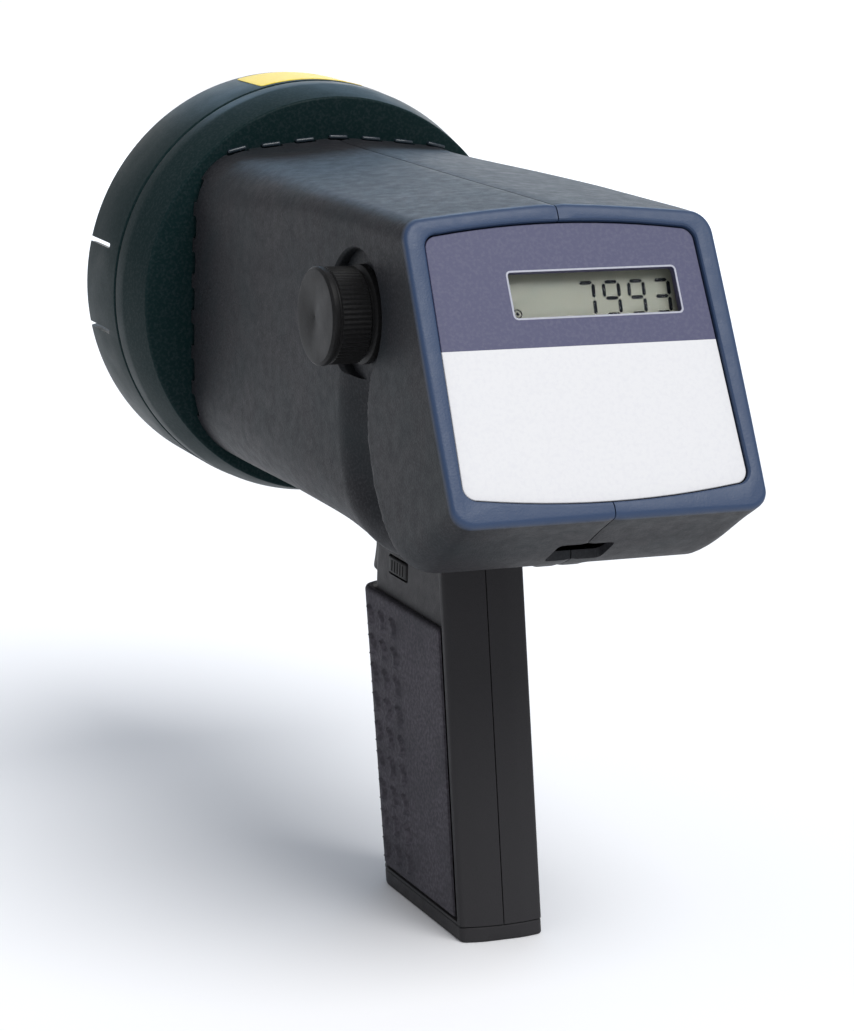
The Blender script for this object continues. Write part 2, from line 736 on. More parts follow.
def bell():
    """Bell behind the hood: spigot, tapering band and flat back disc with the lamp mouth."""
    back, inside = BELL_BACK, BELL_BACK - BELL_DISC
    front = HOOD_REAR + GAP
    outline = rounded([
        (57.6, SPIGOT_FRONT), (60.0, SPIGOT_FRONT), (60.0, front), (61.9, front),
        (61.6, front + 6), (58.9, back), (BELL_MOUTH_R, back), (BELL_MOUTH_R, inside), (56.6, inside),
        (59.0, -112), (57.6, -121),
    ], (0.2, 0.3, 0.2, 1.1, 12.0, 0.9, 0.4, 0.2, 1.0, 1.0, 1.0), 5)
    ring = turned("bell", outline, "y", sides=192)
    holes = [rod(SCREW_SHANK_R + GAP, back - 4, back + 1, "y", place, 24)
             for place in BELL_SCREWS]
    return carve(ring, "DIFFERENCE", *holes)


def label():
    """Thin plain sticker that follows the top of the hood."""
    low, high = span("caution_label", 0)
    radius = HOOD_R + 0.02
    edge_r = HOOD_R + 0.8  # the CAD label's outer face
    start, end = math.asin(low / edge_r), math.asin(high / edge_r)
    front, rear = span("caution_label", 1)
    flat = rounded(rectangle(start * radius, front, end * radius, rear), 1.2, 5)
    centre = flat.mean(axis=0)
    dense = []
    for here, after in zip(flat, np.roll(flat, -1, axis=0)):
        count = max(1, int(np.linalg.norm(after - here)))  # about one point a millimetre
        dense += [here + (after - here) * t / count for t in range(count)]
    dense = np.array(dense)

    def ring(scale, height):
        along = centre + (dense - centre) * scale
        angle = along[:, 0] / radius
        r = radius + height
        return np.stack([r * np.sin(angle), along[:, 1], r * np.cos(angle)], -1)
    top = [ring(scale, 0.16) for scale in (0.02, 0.35, 0.7, 0.985)]
    bottom = [ring(scale, 0.0) for scale in (1.0, 0.7, 0.35, 0.02)]
    return skin("label", top + [ring(1.0, 0.1)] + bottom)


def lens():
    """Round window with a slightly domed front and a rounded rim."""
    radius = span("front_lens", 0)[1]
    crown, front, back = 0.35, LENS_FRONT, LENS_BACK
    dome = [(r, front - crown * (1 - (r / radius) ** 2)) for r in np.linspace(0, radius - 0.5, 12)]
    edge = [(radius, front + 0.5), (radius, back - 0.4), (radius - 0.4, back), (0, back)]
    return turned("lens", dome + edge, "y", sides=128)


def reflector():
    """Thin parabolic bowl with a rolled rim and a hole for the lamp."""
    front, back = span("reflector", 1)
    rim = 56.0
    apex = back - REFLECTOR_WALL + LAMP_HOLE_R ** 2 / (4 * FOCAL)
    inner = [(r, apex - r * r / (4 * FOCAL)) for r in np.linspace(LAMP_HOLE_R, rim, 26)]
    outer = [(r, y + REFLECTOR_WALL) for r, y in inner[::-1] if r < rim - 1]
    lip = [(rim, front + 0.1), (rim + 0.3, front), (57.0, front), (57.2, front + 0.3),
           (57.2, front + 1.0), (56.6, front + 1.6)]
    return turned("reflector", inner + lip + outer, "y", sides=128)


def tube(name, points, radius, sides=16, per_span=6):
    """Closed round bar along a smooth curve through the points."""
    points = np.array(points, float)
    padded = np.vstack([2 * points[0] - points[1], points, 2 * points[-1] - points[-2]])
    path = []
    for i in range(len(points) - 1):
        a, b, c, d = padded[i:i + 4]
        for t in np.linspace(0, 1, per_span, endpoint=False):
            path.append(0.5 * (2 * b + (c - a) * t + (2 * a - 5 * b + 4 * c - d) * t ** 2
                               + (3 * b - a - 3 * c + d) * t ** 3))
    path = np.array(path + [points[-1]])
    tangent = np.gradient(path, axis=0)
    tangent /= np.linalg.norm(tangent, axis=1, keepdims=True)
    side = np.cross(tangent[0], (0.0, 0.0, 1.0))
    if np.linalg.norm(side) < 0.1:
        side = np.cross(tangent[0], (1.0, 0.0, 0.0))
    rings = []
    for here, direction in zip(path, tangent):
        side = side - direction * (side @ direction)
        side /= np.linalg.norm(side)
        other = np.cross(direction, side)
        angles = np.linspace(0, 2 * math.pi, sides, endpoint=False)
        rings.append([here + radius * (math.cos(a) * side + math.sin(a) * other) for a in angles])
    return skin(name, rings)


def flash_tube():
    """U-shaped quartz tube."""
    front, rear = span("flash_tube", 1)
    bend = front + 2.0
    leg = [(5.5, rear, 0), (6.4, rear - 6, 0), (6.6, bend + 12, 0), (6.0, bend + 5.5, 0),
           (3.6, bend + 1.4, 0)]
    other_leg = [(-x, y, z) for x, y, z in reversed(leg)]
    return tube("flash_tube", leg + [(0, bend, 0)] + other_leg, 2.0, 20, 6)


def trigger_wire():
    """Fine ignition wire wound along both legs of the flash tube."""
    front, rear = span("flash_tube", 1)
    turns, steps, radius = 5, 40, 2.25
    objects = []
    for side in (-1, 1):
        points = []
        for i in range(steps + 1):
            angle = 2 * math.pi * turns * i / steps
            y = rear - 2.5 + (front + 9 - rear) * i / steps
            points.append((side * 6.5 + radius * math.cos(angle), y, radius * math.sin(angle)))
        objects.append(tube("wire", points, 0.18, 6, 2))
    return joined("trigger_wire", objects)


# ------------------------------------------------------------------ display
def through(outline):
    """Cutter through the panel."""
    return display_stack("hole", [(outline, -8), (outline, 0)])


def plate():
    """Moulded panel behind the printed film."""
    body = display_stack("plate", [
        (panel_outline(0), -4.0), (panel_outline(0), -2.3), (panel_outline(-0.3), -2.0)])
    return carve(body, "DIFFERENCE", through(window_outline(0.4)))


def overlay():
    """Printed film: slate above the split line, off-white below it."""
    film = display_stack("film", [
        (panel_outline(-0.1), PANEL_FACE - 0.75), (panel_outline(-0.1), PANEL_FACE - 0.12),
        (panel_outline(-0.25), PANEL_FACE)])
    carve(film, "DIFFERENCE", through(window_outline(0)))
    work = bmesh.new()
    work.from_mesh(film.data)
    up = Vector(on_display([[0, 1, 0]])[0] - on_display([[0, 0, 0]])[0])
    line = Vector(world(on_display([[0, SPLIT, 0]]))[0])
    bmesh.ops.bisect_plane(work, geom=work.verts[:] + work.edges[:] + work.faces[:],
                           plane_co=line, plane_no=up)
    for face in work.faces:
        face.material_index = 0 if (face.calc_center_median() - line).dot(up) > 0 else 1
    work.to_mesh(film.data)
    work.free()
    return film


def window_border():
    """Thin printed line round the display window."""
    outline = window_outline(0.5, 1.3)
    ring = display_stack("border", [(outline, PANEL_FACE + 0.01), (outline, PANEL_FACE + 0.05)])
    return carve(ring, "DIFFERENCE", through(window_outline(0.02)))


LCD_LEVEL = -5.6
DIGIT_WIDTH = 4.2
DIGIT_HEIGHT = 8.8
DIGIT_BAR = 1.0
DIGIT_GAP = 0.25
DIGIT_PITCH = 7.2
DIGIT_SLANT = 0.08
FIRST_DIGIT = (3.9, WINDOW["v"] - 4.7)
DIGIT_SEGMENTS = {"7": "abc", "9": "abcdfg", "3": "abcdg"}
# ends of each segment, in widths and heights of a digit
SEGMENT_ENDS = {
    "a": ((0, 1), (1, 1)), "b": ((1, 1), (1, 0.5)), "c": ((1, 0.5), (1, 0)), "d": ((0, 0), (1, 0)),
    "f": ((0, 0.5), (0, 1)), "g": ((0, 0.5), (1, 0.5)),
}


def printed(outline):
    """Thin mark on the liquid crystal's face."""
    return display_stack("mark", [(outline, LCD_LEVEL + 0.02), (outline, LCD_LEVEL + 0.10)])


def digit_bar(ends, u0, v0):
    """One bar of a digit, pointed at both ends."""
    a, b = np.array(ends, float) * (DIGIT_WIDTH, DIGIT_HEIGHT)
    along = (b - a) / np.linalg.norm(b - a)
    across = np.array([-along[1], along[0]]) * DIGIT_BAR / 2
    a, b = a + along * DIGIT_GAP, b - along * DIGIT_GAP
    tip = along * DIGIT_BAR / 2
    outline = [a, a + tip - across, b - tip - across, b, b - tip + across, a + tip + across]
    return printed(np.array([(u0 + u + DIGIT_SLANT * v, v0 + v) for u, v in outline]))


def lcd_digits(text="7993"):
    """Dark seven-segment bars that lie on the liquid crystal's face, with an index ring."""
    objects = []
    for place, digit in enumerate(text):
        u0, v0 = FIRST_DIGIT[0] + place * DIGIT_PITCH, FIRST_DIGIT[1]
        for segment in DIGIT_SEGMENTS[digit]:
            objects.append(digit_bar(SEGMENT_ENDS[segment], u0, v0))
    corner = np.array([WINDOW["u"] - WINDOW["width"] / 2, WINDOW["v"] - WINDOW["height"] / 2])
    angles = np.linspace(0, 2 * math.pi, 28, endpoint=False)
    circle = np.column_stack([np.cos(angles), np.sin(angles)])
    for r_out, r_in in ((1.25, 0.95), (0.45, 0.02)):
        outer, inner = (circle * r + corner + (2.9, 2.6) for r in (r_out, r_in))
        objects.append(carve(printed(outer), "DIFFERENCE", through(inner)))
    return joined("digits", objects)


def lcd():
    return display_stack("lcd", [
        (window_outline(2.0), -8.4), (window_outline(2.0), LCD_LEVEL - 0.15),
        (window_outline(1.9), LCD_LEVEL)])


# ------------------------------------------------------------------ knob
KNOB_R = 13.0
FLUTES = 60
FLUTE_DEPTH = 0.62


def knob():
    """Speed knob: skirt, fluted band between two plain bands, bevelled flat face."""
    base, face, r = KNOB_BASE, KNOB_FACE, KNOB_R
    outline = rounded([
        (r, base), (r, base + 1.7), (r - 1.3, base + 2.3), (r - 1.3, base + 2.8),
        (r - 0.35, base + 3.3), (r - 0.35, face - 3.0), (r - 0.9, face - 2.7),
        (r - 0.9, face - 2.3), (r - 0.15, face - 1.9), (r - 0.15, face - 0.6), (r - 0.8, face),
        (r - 1.3, face), (0, face), (0, face - 3), (3.3, face - 3), (3.3, base + 3.2),
        (8.4, base + 3.2), (8.4, base),
    ], 0.12, 2)
    low, high = base + 3.0, face - 2.85

    def radius_at(points, angle):
        radius, along = points.T
        ends = np.clip(np.minimum(along - low, high - along) / 0.5, 0, 1)
        outer = np.clip((radius - (r - 1.5)) / 0.6, 0, 1)
        flute = 0.5 - 0.5 * math.cos(FLUTES * angle)
        return radius - FLUTE_DEPTH * flute ** 0.7 * ends * outer
    return turned("knob", outline, "x", (KNOB_Y, KNOB_Z), FLUTES * 8, radius_at)


# ------------------------------------------------------------------ trigger, button, screws
def side_prism(name, outline, x0, x1):
    """Prism across X of a (y, z) outline."""
    return skin(name, [[(x, y, z) for y, z in outline] for x in (x0, x1)])


def trigger():
    """Finger lever with a hooked tip and five shallow grip lines."""
    half = span("trigger", 0)[1]
    outline = rounded([
        (-37.7, -54.2), (-37.5, -58), (-38.9, -63.4), (-42.9, -64.4), (-47, -66), (-47.5, -70.4),
        (-50.7, -71.5), (-53.7, -71), (-52.5, -67.2), (-51.5, -63), (-52.9, -57.2),
        (-51.7, -54.6), (-45.3, -53.5),
    ], (0.8, 3, 2, 2, 1, 1, 1.5, 1.5, 6, 8, 2.2, 1.5, 3), 5)
    lever = bevel(side_prism("trigger", outline, -half, half), 1.0, 3, 50)
    grooves = [rod(0.55, -half + 1.6, half - 1.6, "x", (-52.85 + 0.2 * abs(i), -62.5 + i * 1.7), 12)
               for i in range(-2, 3)]
    return carve(lever, "DIFFERENCE", rod(PIVOT_R, -20, 20, "x", PIVOT, 24), *grooves)


def lock_button():
    """Ribbed button cap on a stem."""
    (x0, x1), (y0, y1), (z0, z1) = (span("lock_button", i) for i in range(3))
    cap_base = x1 - 2.3
    cap = bevel(block((cap_base, y0, z0), (x1, y1, z1)), 0.7, 3)
    y, z = (y0 + y1) / 2, (z0 + z1) / 2
    stem = block((x0, y - 1.5, z - 1.5), (cap_base + 0.6, y + 1.5, z + 1.5))
    carve(cap, "UNION", stem)
    grooves = [rod(0.45, z0 + 0.9, z1 - 0.9, "z", (x1 + 0.1, y + i * 1.9), 12) for i in range(-2, 3)]
    return carve(cap, "DIFFERENCE", *grooves)


def coil_spring(node, along, turns, wire_r):
    """Helical spring that fills the box of its CAD node, along X (0) or Y (1)."""
    across = 1 - along
    (start, end), (bottom, top) = span(node, along), span(node, 2)
    radius = (top - bottom) / 2 - wire_r
    steps = turns * 16
    points = []
    for i in range(steps + 1):
        angle = i / steps * 2 * math.pi * turns
        point = [0.0, 0.0, (bottom + top) / 2 + radius * math.sin(angle)]
        point[along] = start + wire_r + (end - start - 2 * wire_r) * i / steps
        point[across] = middle(node, across) + radius * math.cos(angle)
        points.append(point)
    return tube(node, points, wire_r, 10, 1)


def screw(length, sides=36):
    """Pan-head screw along +Y with its seat at y = 0, a cross recess and a ridged shank."""
    head, turns, tip = SCREW_HEAD_HEIGHT, 10, 1.8
    first_ridge, thread_depth = 0.6, 0.22
    pitch = (length - tip - first_ridge) / turns
    outline = [(0, -head), (0.9, -head), (1.7, -head * 0.93), (2.3, -head * 0.76),
               (SCREW_HEAD_R * 0.97, -head * 0.45), (SCREW_HEAD_R, -0.25), (SCREW_HEAD_R, 0),
               (SCREW_SHANK_R, 0)]
    for i in range(turns):
        y = first_ridge + i * pitch
        outline += [(SCREW_SHANK_R, y), (SCREW_SHANK_R - thread_depth, y + pitch / 2)]
    outline += [(SCREW_SHANK_R, length - tip), (0.3, length), (0, length)]
    body = turned("screw", outline, "y", sides=sides)
    cross = [block((-u, -head - 1, -v), (u, -head + 1, v)) for u, v in ((1.5, 0.3), (0.3, 1.5))]
    return carve(body, "DIFFERENCE", *cross)


def placed(obj, rotation, place):
    """Turns an object drawn about the head frame's origin and moves it to its place."""
    lift = Matrix.Translation((0, 0, AXIS_Z))
    move = Matrix.Translation(Vector(place) * MM)
    obj.data.transform(move @ lift @ rotation @ lift.inverted())
    return obj


# ------------------------------------------------------------------ handle pieces
PIP_PITCH = 8.0
PIP_ROWS = 9
PIP_COLUMNS = 3
PIP_HEIGHT = 0.95
FIRST_PIP = (9.0, 7.5)  # behind the pad's front and below its top
PIP_R = 2.9
PIP_BITE = (2.1, 2.6)  # round bite that leaves a half-moon: how far ahead, and its radius
PIP_SLOPE = 0.7


def pip_height(u, z):
    """Raised half-moons on the front part of a pad's side; u runs back from the front face."""
    height = np.zeros(u.shape)
    for column in range(PIP_COLUMNS):
        for row in range(PIP_ROWS):
            du = u - FIRST_PIP[0] - column * PIP_PITCH
            dz = z - PAD_TOP + FIRST_PIP[1] + row * PIP_PITCH
            inside = np.minimum(PIP_R - np.hypot(du, dz),
                                np.hypot(du + PIP_BITE[0], dz) - PIP_BITE[1])
            height = np.maximum(height, ease(inside / PIP_SLOPE + 0.35))
    return PIP_HEIGHT * height


def pad_face(front, back):
    """Outer face of a pad in section, from the middle plane round to its back edge.

    Each point is (x, y, and the x and y parts of the way it faces)."""
    half, r = HANDLE["half"], HANDLE["r"]
    face = [(x, front, 0, -1) for x in np.linspace(SEAM, half - r, 8, endpoint=False)]
    for a in np.radians(np.linspace(-90, 0, 22, endpoint=False)):
        u, v = math.cos(a), math.sin(a)
        face.append((half - r + r * u, front + r + r * v, u, v))
    face += [(half, y, 1, 0) for y in np.linspace(front + r, back - 1.2, 66)]
    face += [(half - 0.15, back - 0.45, 0.9, 0.3), (half - 0.75, back - 0.25, 0.6, 0.6)]
    return np.array(face)


def pad_lining(front, rear):
    """Inner face of a pad in section, from its back edge round to the middle plane."""
    core, r = HANDLE["core"] + GAP, HANDLE["core_r"]
    lining = [(core + 0.35, rear - TAPER[0] - 0.5)]
    for a in np.radians(np.linspace(0, -90, 8)):
        lining.append((core - r + r * math.cos(a), front + r + r * math.sin(a)))
    return lining + [(SEAM, front)]


def grip_pad(side):
    """Rubber pad that wraps the front and one side of the handle."""
    levels = [PAD_BOTTOM, PAD_BOTTOM + 0.25, PAD_BOTTOM + 0.9]
    levels += list(np.linspace(PAD_BOTTOM + 1.6, PAD_TOP - 1.6, 190))
    levels += [PAD_TOP - 0.9, PAD_TOP - 0.25, PAD_TOP]
    rings = []
    for z in levels:
        centre, depth = handle_centre(z), handle_depth(z)
        front, rear = centre - depth, centre + depth
        edge = min(z - PAD_BOTTOM, PAD_TOP - z, 1.0)
        inset = 1.0 - math.sqrt(max(0.0, 1 - (1 - edge) ** 2))
        x, y, x_way, y_way = pad_face(front, rear - TAPER[1] - 0.9).T
        lift = pip_height(y - front, np.full(y.shape, z)) * np.clip(x_way * 1.5, 0, 1) - inset
        outer = np.column_stack([x + x_way * lift, y + y_way * lift])
        ring = np.vstack([outer, pad_lining(front + PAD_THICK - GAP, rear)])
        ring[:, 0] = np.maximum(ring[:, 0], SEAM)
        rings.append(np.column_stack([ring, np.full(len(ring), z)]))
    pad = skin("pad", rings)
    return pad if side > 0 else mirrored(pad)


def above_foot(outline):
    """Outline of (radius, height above the foot's face) as (radius, z)."""
    return [(radius, FOOT + height) for radius, height in outline]


def foot_plate():
    """Flat foot with its screw holes and the openings for the bushing and the jack."""
    rings = [full_ring(FOOT, 0.5), full_ring(FOOT + 0.15, 0.2), full_ring(FOOT + 0.5),
             full_ring(FOOT_TOP - 0.3), full_ring(FOOT_TOP, 0.25)]
    body = skin("foot", rings)
    holes = []
    for place in FOOT_SCREWS:
        holes.append(rod(SCREW_SHANK_R + GAP, FOOT - 1, FOOT + 10, "z", place, 24))
        holes.append(rod(SCREW_HEAD_R + GAP, FOOT - 1, FOOT + 2.6, "z", place, 36))
    for node, radius in (("tripod_bushing", 4.9), ("charge_jack", 4.5)):
        holes.append(rod(radius, FOOT - 1, FOOT + 10, "z", (0, middle(node, 1)), 48))
    for hole in holes:
        carve(body, "DIFFERENCE", hole)
    return body


def bushing():
    """Threaded tripod insert with a knurled flange."""
    bore, groove, turns, pitch = 3.15, 3.55, 6, 1.15
    flange = FOOT_TOP + GAP - FOOT
    outline = [(4.6, 0.25), (4.35, 0), (bore + 0.35, 0)]
    for i in range(turns):
        z = 0.5 + i * pitch
        outline += [(bore, z), (bore, z + 0.3), (groove, z + 0.6), (groove, z + 0.85)]
    outline += [(bore, 7.6), (0, 7.6), (0, 9), (4.3, 9), (4.6, 8.7), (4.6, 6), (5.8, 6),
                (5.8, flange), (4.6, flange)]
    return turned("bushing", above_foot(outline), "z", (0, middle("tripod_bushing", 1)), 64)


def charge_jack():
    """Charging socket: a can with a contact pin in its middle."""
    centre = (0, middle("charge_jack", 1))
    wall = [(2.9, 0), (4.2, 0), (4.2, 9), (0, 9), (0, 7.5), (2.9, 7.5)]
    outline = rounded(above_foot(wall), (0.25, 0.3, 0.3, 0, 0, 0), 3)
    can = turned("jack", outline, "z", centre, 48)
    pin = above_foot([(0, 1), (0.6, 1.05), (1, 1.5), (1, 8), (0, 8)])
    return carve(can, "UNION", turned("pin", pin, "z", centre, 24))


def sync_jack():
    """Output socket in the notch under the display."""
    y = middle("sync_jack", 1)
    low, high = span("sync_jack", 2)
    shoulder, bore_end = -33, -28
    wall = [(1.9, low + 0.2), (2.6, low), (4.0, low), (4.0, shoulder), (5.0, shoulder), (5.0, high),
            (0, high), (0, bore_end), (1.9, bore_end)]
    outline = rounded(wall, (0.1, 0.2, 0.3, 0.1, 0.2, 0.3, 0, 0, 0.2), 3)
    return turned("sync", outline, "z", (0, y), 48)


# ------------------------------------------------------------------ materials
class Look:
    """A procedural material under construction."""

    def __init__(self, name, colour, roughness, metallic=0.0, specular=0.5, coat=0.0):
        self.material = bpy.data.materials.new(name)
        self.material.use_nodes = True
        self.nodes = self.material.node_tree.nodes
        self.links = self.material.node_tree.links
        self.shader = self.nodes["Principled BSDF"]
        self.coords = self.nodes.new("ShaderNodeTexCoord")
        self.colour = colour
        self.shader.inputs["Base Color"].default_value = (*colour, 1.0)
        self.shader.inputs["Roughness"].default_value = roughness
        self.shader.inputs["Metallic"].default_value = metallic
        self.shader.inputs["Specular IOR Level"].default_value = specular
        self.shader.inputs["Coat Weight"].default_value = coat
        self.roughness = roughness
        self.height = None

    def noise(self, scale, stretch=None):
        """Noise in object space, in cells per metre."""
        texture = self.nodes.new("ShaderNodeTexNoise")
        texture.inputs["Scale"].default_value = scale
        texture.inputs["Detail"].default_value = 3.0
        texture.inputs["Roughness"].default_value = 0.55
        source = self.coords.outputs["Object"]
        if stretch is not None:
            mapping = self.nodes.new("ShaderNodeMapping")
            mapping.inputs["Scale"].default_value = stretch
            self.links.new(source, mapping.inputs["Vector"])
            source = mapping.outputs["Vector"]
        self.links.new(source, texture.inputs["Vector"])
        return texture.outputs["Fac"]

    def spread(self, value, low, high, out_low, out_high):
        """Maps a value from one range to another, clamped."""
        remap = self.nodes.new("ShaderNodeMapRange")
        for name, number in zip(("From Min", "From Max", "To Min", "To Max"),
                                (low, high, out_low, out_high)):
            remap.inputs[name].default_value = number
        self.links.new(value, remap.inputs["Value"])
        return remap.outputs["Result"]

    def tint(self, colour, factor):
        """Mixes a colour in by a factor socket."""
        mix = self.nodes.new("ShaderNodeMix")
        mix.data_type = "RGBA"
        self.links.new(factor, next(socket for socket in mix.inputs if socket.type == "VALUE"))
        first, second = (socket for socket in mix.inputs if socket.type == "RGBA")
        if isinstance(self.colour, tuple):
            first.default_value = (*self.colour, 1.0)
        else:
            self.links.new(self.colour, first)
        second.default_value = (*colour, 1.0)
        self.colour = next(socket for socket in mix.outputs if socket.type == "RGBA")
        self.links.new(self.colour, self.shader.inputs["Base Color"])

    def mottle(self, scale, colour, low=0.4, high=0.7, amount=1.0):
        self.tint(colour, self.spread(self.noise(scale), low, high, 0.0, amount))

    def vary_roughness(self, scale, amount):
        value = self.spread(self.noise(scale), 0.3, 0.7,
                            self.roughness - amount, self.roughness + amount)
        self.links.new(value, self.shader.inputs["Roughness"])

    def follow(self, socket, value, start, end):
        """Lets a shader input go from one number to another with a value from 0 to 1."""
        self.links.new(self.spread(value, 0.0, 1.0, start, end), self.shader.inputs[socket])

    def bump(self, height, strength, distance):
        node = self.nodes.new("ShaderNodeBump")
        node.inputs["Strength"].default_value = strength
        node.inputs["Distance"].default_value = distance
        self.links.new(height, node.inputs["Height"])
        if self.height is not None:
            self.links.new(self.height, node.inputs["Normal"])
        self.height = node.outputs["Normal"]
        self.links.new(self.height, self.shader.inputs["Normal"])

    def grain(self, scale, strength, distance, stretch=None):
        self.bump(self.noise(scale, stretch), strength, distance)

    def lowness(self, top, bottom):
        """0 above a height and 1 below another, in metres above the foot."""
        split = self.nodes.new("ShaderNodeSeparateXYZ")
        self.links.new(self.coords.outputs["Object"], split.inputs["Vector"])
        return self.spread(split.outputs["Z"], bottom, top, 1.0, 0.0)

    def display_nearness(self, start, end):
        """1 at the display plane, falling to 0 between two depths behind it, in metres."""
        offset = self.nodes.new("ShaderNodeVectorMath")
        offset.operation = "SUBTRACT"
        offset.inputs[1].default_value = world(on_display([[0, 0, 0]]))[0]
        self.links.new(self.coords.outputs["Object"], offset.inputs[0])
        project = self.nodes.new("ShaderNodeVectorMath")
        project.operation = "DOT_PRODUCT"
        project.inputs[1].default_value = (0, math.cos(LEAN), math.sin(LEAN))
        self.links.new(offset.outputs["Vector"], project.inputs[0])
        return self.spread(project.outputs["Value"], start, end, 0.0, 1.0)


def shell_look():
    look = Look("shell_plastic", (0.015, 0.0155, 0.018), 0.48, specular=0.12)
    look.mottle(1500, (0.028, 0.028, 0.032), 0.45, 0.65)
    look.mottle(60, (0.012, 0.018, 0.021), 0.4, 0.75, 0.6)
    look.vary_roughness(300, 0.05)
    look.tint((0.030, 0.029, 0.031), look.lowness(0.118, 0.106))
    rim = look.display_nearness(-0.0024, -0.0006)
    look.tint((0.018, 0.042, 0.100), rim)
    look.follow("Specular IOR Level", rim, 0.12, 0.5)
    look.grain(1900, 0.55, 0.00012)
    return look.material


def clear_look(name, colour, roughness, ior=1.2):
    look = Look(name, colour, roughness)
    look.shader.inputs["Transmission Weight"].default_value = 1.0
    look.shader.inputs["IOR"].default_value = ior
    look.grain(90, 0.05, 0.0001)
    return look.material


def metal_look(name, colour, roughness):
    look = Look(name, colour, roughness, metallic=1.0)
    look.mottle(500, tuple(0.8 * c for c in colour), 0.4, 0.7, 0.8)
    look.vary_roughness(700, 0.08)
    look.grain(1500, 0.25, 0.00004, stretch=(1.0, 1.0, 0.2))
    return look.material


def plain_look(name, colour, roughness, scale=700, strength=0.3):
    """Moulded or wrapped inner part: two close tones, uneven gloss and a fine grain."""
    look = Look(name, colour, roughness)
    look.mottle(scale, tuple(0.75 * c for c in colour), 0.4, 0.7, 0.8)
    look.vary_roughness(scale / 3, 0.06)
    look.grain(scale * 2, strength, 0.00008)
    return look.material


def wound_look():
    """Copper winding under amber tape: fine turns across the coil."""
    look = Look("coil", (0.42, 0.2, 0.05), 0.45)
    wave = look.nodes.new("ShaderNodeTexWave")
    wave.bands_direction = "Y"
    wave.inputs["Scale"].default_value = 260
    wave.inputs["Distortion"].default_value = 0.4
    look.links.new(look.coords.outputs["Object"], wave.inputs["Vector"])
    look.tint((0.25, 0.11, 0.03), wave.outputs["Fac"])
    look.bump(wave.outputs["Fac"], 0.5, 0.0002)
    return look.material


def finished(name, colour, roughness, mottles=(), vary=None, grain=None, **finish):
    """Material with patches of other tones, uneven gloss and a fine grain."""
    look = Look(name, colour, roughness, **finish)
    for mottle in mottles:
        look.mottle(*mottle)
    if vary:
        look.vary_roughness(*vary)
    if grain:
        look.grain(*grain)
    return look.material


BELL = finished(
    "bell_plastic", (0.005, 0.016, 0.017), 0.4, [(1200, (0.013, 0.024, 0.026), 0.45, 0.65)],
    (90, 0.05), (2200, 0.25, 0.00006), specular=0.05)
RUBBER = finished(
    "black_rubber", (0.048, 0.045, 0.053), 0.72,
    [(900, (0.078, 0.072, 0.085), 0.42, 0.62), (70, (0.038, 0.038, 0.044), 0.45, 0.7, 0.5)],
    (200, 0.06), (1300, 0.8, 0.00016), specular=0.15)
KNOB = finished(
    "black_plastic", (0.010, 0.010, 0.010), 0.42, [(1500, (0.014, 0.014, 0.015), 0.45, 0.65)],
    (120, 0.06), (2500, 0.2, 0.00005), specular=0.1)
SLATE_PRINT = finished(
    "printed_slate", (0.060, 0.062, 0.125), 0.42, [(1100, (0.080, 0.082, 0.142), 0.45, 0.65, 0.8)],
    grain=(2600, 0.15, 0.00004), specular=0.3)
WHITE_PRINT = finished(
    "printed_white", (0.66, 0.66, 0.67), 0.4, [(900, (0.62, 0.62, 0.64), 0.45, 0.7, 0.7)],
    grain=(2600, 0.15, 0.00004), specular=0.3)
PLATE = finished(
    "slate_plastic", (0.075, 0.07, 0.12), 0.5, [(900, (0.09, 0.085, 0.14))],
    grain=(2000, 0.2, 0.00005))
BORDER = finished(
    "window_border", (0.36, 0.37, 0.43), 0.35, [(1200, (0.28, 0.29, 0.36), 0.4, 0.7, 0.6)])
LCD = finished(
    "lcd", (0.29, 0.285, 0.225), 0.22,
    [(350, (0.25, 0.26, 0.205), 0.4, 0.7, 0.8), (40, (0.33, 0.32, 0.25), 0.4, 0.7, 0.7)],
    specular=0.2)
SEGMENT = finished(
    "lcd_segment", (0.004, 0.005, 0.008), 0.5, [(700, (0.008, 0.009, 0.012))], specular=0.1)
YELLOW = finished(
    "label_yellow", (0.85, 0.62, 0.02), 0.45,
    [(260, (0.78, 0.55, 0.02), 0.45, 0.75, 0.7), (900, (0.90, 0.70, 0.06), 0.5, 0.7, 0.5)],
    grain=(1200, 0.2, 0.00004))
MIRROR = finished(
    "mirror_coat", (0.88, 0.88, 0.89), 0.07, vary=(150, 0.03), grain=(220, 0.06, 0.0002),
    metallic=1.0)
BOARD = finished(  # solder mask over copper areas
    "board", (0.02, 0.12, 0.05), 0.35,
    [(140, (0.03, 0.2, 0.08), 0.49, 0.52), (800, (0.02, 0.09, 0.04), 0.5, 0.7, 0.5)],
    grain=(900, 0.2, 0.00006), coat=0.3)
GLOSS_BLACK = plain_look("gloss_black", (0.02, 0.03, 0.04), 0.22, 900, 0.1)
COATED_WINDOW = clear_look("coated_window", (0.95, 0.97, 0.98), 0.03, 1.07)

